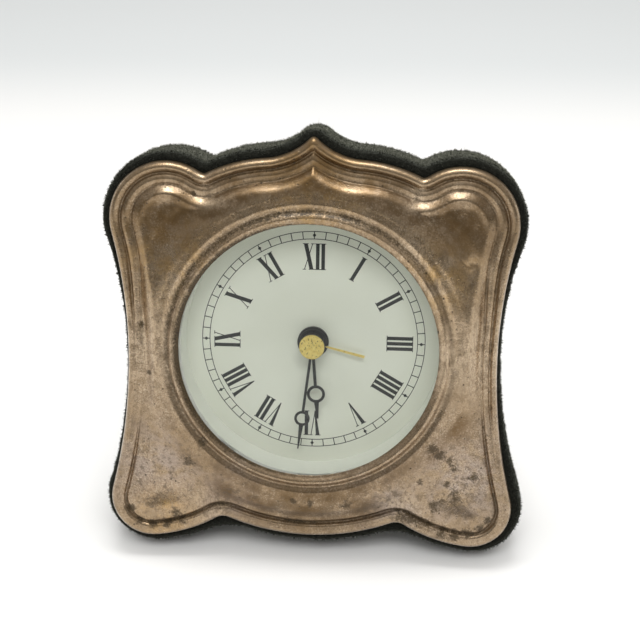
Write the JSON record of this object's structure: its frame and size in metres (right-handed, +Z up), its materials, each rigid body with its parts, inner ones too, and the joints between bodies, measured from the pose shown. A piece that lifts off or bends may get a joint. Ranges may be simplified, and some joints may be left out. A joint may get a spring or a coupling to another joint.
{
  "type": "photo frame clock",
  "caption": "Easel-back table clock: pressed silver front on a velvet-covered block, glazed roman dial, three hands, quartz alarm movement with setting knobs, folding strut.",
  "frame": {"origin": "on the surface it stands on, under the middle of the whole object's box", "axes": "X runs right along the front, Y runs from the front to the back, Z is up; the face looks along -Y and leans back"},
  "size_m": [0.1134, 0.077, 0.1138],
  "materials": {
    "silver": "tarnished polished silver",
    "velvet": "short pile velvet",
    "wood": "bare softwood",
    "glass": "clear flat glass",
    "white_plastic": "satin",
    "dial_paint": "matt pale enamel",
    "black_metal": "satin black",
    "gilt": "gilt",
    "black_plastic": "fine moulded texture",
    "gear_plastic": "moulded",
    "steel": "plated",
    "copper": "enamelled wire",
    "circuit": "solder mask",
    "crystal_can": "drawn can",
    "cell_jacket": "printed jacket, bare of words",
    "brass": "stamped",
    "card": "lined board"
  },
  "bodies": {
    "clock": {"silver_front": "silver", "velvet_cover": "velvet", "wood_block": "wood", "glass": "glass", "spacer_ring": "white_plastic", "dial": "dial_paint", "centre_nut": "black_metal", "movement_plate": "black_plastic", "movement_cover": "black_plastic", "case_screws": "steel", "train_bridge": "gear_plastic", "stator": "steel", "coil_core": "steel", "coil_winding": "copper", "circuit_board": "circuit", "controller_chip": "black_plastic", "quartz_crystal": "crystal_can", "buzzer": "black_plastic", "battery": "cell_jacket", "positive_contact": "brass", "negative_contact": "brass", "movement_clips": "brass", "clip_screws": "brass", "frame_leaf": "brass", "leaf_screws": "brass", "hinge_pin": "steel"},
    "minute_set": {"cannon_pinion": "gear_plastic", "minute_hand": "black_metal", "centre_cap": "gilt"},
    "minute_idler": {"minute_wheel": "gear_plastic"},
    "hour_set": {"hour_wheel": "gear_plastic", "hour_hand": "black_metal"},
    "time_setter": {"time_set_arbor": "gear_plastic", "time_set_knob": "black_plastic"},
    "alarm_set": {"alarm_wheel": "gear_plastic", "alarm_hand": "gilt"},
    "alarm_setter": {"alarm_set_arbor": "gear_plastic", "alarm_set_knob": "black_plastic"},
    "centre_drive": {"centre_wheel": "gear_plastic"},
    "third_drive": {"third_wheel": "gear_plastic"},
    "seconds_drive": {"seconds_wheel": "gear_plastic"},
    "intermediate_drive": {"intermediate_wheel": "gear_plastic"},
    "motor_rotor": {"rotor": "gear_plastic"},
    "switch": {"alarm_switch": "white_plastic"},
    "strut": {"strut_board": "card", "strut_velvet": "velvet", "strut_leaf": "brass", "strut_rivets": "brass"}
  },
  "joints": [
    {"name": "minute_turn", "type": "hinge", "parent": "clock", "child": "minute_set", "pos_m": [0, -0.02213, 0.05925], "axis": [0, 0.9659, -0.2588], "continuous": true},
    {"name": "minute_idler_turn", "type": "hinge", "parent": "clock", "child": "minute_idler", "pos_m": [-0.00902, -0.02298, 0.05608], "axis": [0, 0.9659, -0.2588], "continuous": true},
    {"name": "hour_turn", "type": "hinge", "parent": "clock", "child": "hour_set", "pos_m": [0, -0.02213, 0.05925], "axis": [0, 0.9659, -0.2588], "continuous": true},
    {"name": "time_set_turn", "type": "hinge", "parent": "clock", "child": "time_setter", "pos_m": [-0.01862, -0.02298, 0.05608], "axis": [0, 0.9659, -0.2588], "continuous": true},
    {"name": "alarm_turn", "type": "hinge", "parent": "clock", "child": "alarm_set", "pos_m": [0, -0.02213, 0.05925], "axis": [0, 0.9659, -0.2588], "continuous": true},
    {"name": "alarm_set_turn", "type": "hinge", "parent": "clock", "child": "alarm_setter", "pos_m": [0.01699, -0.02283, 0.05665], "axis": [0, 0.9659, -0.2588], "continuous": true},
    {"name": "intermediate_turn", "type": "hinge", "parent": "clock", "child": "intermediate_drive", "pos_m": [0.0045, -0.02011, 0.06678], "axis": [0, 0.9659, -0.2588], "continuous": true},
    {"name": "seconds_turn", "type": "hinge", "parent": "clock", "child": "seconds_drive", "pos_m": [0, -0.02213, 0.05925], "axis": [0, 0.9659, -0.2588], "continuous": true},
    {"name": "third_turn", "type": "hinge", "parent": "clock", "child": "third_drive", "pos_m": [-0.00736, -0.02103, 0.06335], "axis": [0, 0.9659, -0.2588], "continuous": true},
    {"name": "centre_turn", "type": "hinge", "parent": "clock", "child": "centre_drive", "pos_m": [0, -0.02213, 0.05925], "axis": [0, 0.9659, -0.2588], "continuous": true},
    {"name": "rotor_turn", "type": "hinge", "parent": "clock", "child": "motor_rotor", "pos_m": [0.01069, -0.01851, 0.07275], "axis": [0, 0.9659, -0.2588], "continuous": true},
    {"name": "switch_slide", "type": "slide", "parent": "clock", "child": "switch", "axis": [1, 0, 0], "range_m": [0, 0.004]},
    {"name": "strut_fold", "type": "hinge", "parent": "clock", "child": "strut", "pos_m": [0, 0.01121, 0.09173], "axis": [1, 0, 0], "range_deg": [-30, 0]}
  ],
  "couplings": [
    {"joint": "minute_idler_turn", "follows": "minute_turn", "ratio": -0.33333},
    {"joint": "hour_turn", "follows": "minute_turn", "ratio": 0.083333},
    {"joint": "time_set_turn", "follows": "minute_turn", "ratio": 1},
    {"joint": "alarm_set_turn", "follows": "alarm_turn", "ratio": -0.86957},
    {"joint": "seconds_turn", "follows": "intermediate_turn", "ratio": -0.2},
    {"joint": "third_turn", "follows": "intermediate_turn", "ratio": 0.026667},
    {"joint": "centre_turn", "follows": "intermediate_turn", "ratio": -0.0033333},
    {"joint": "rotor_turn", "follows": "intermediate_turn", "ratio": -6}
  ]
}
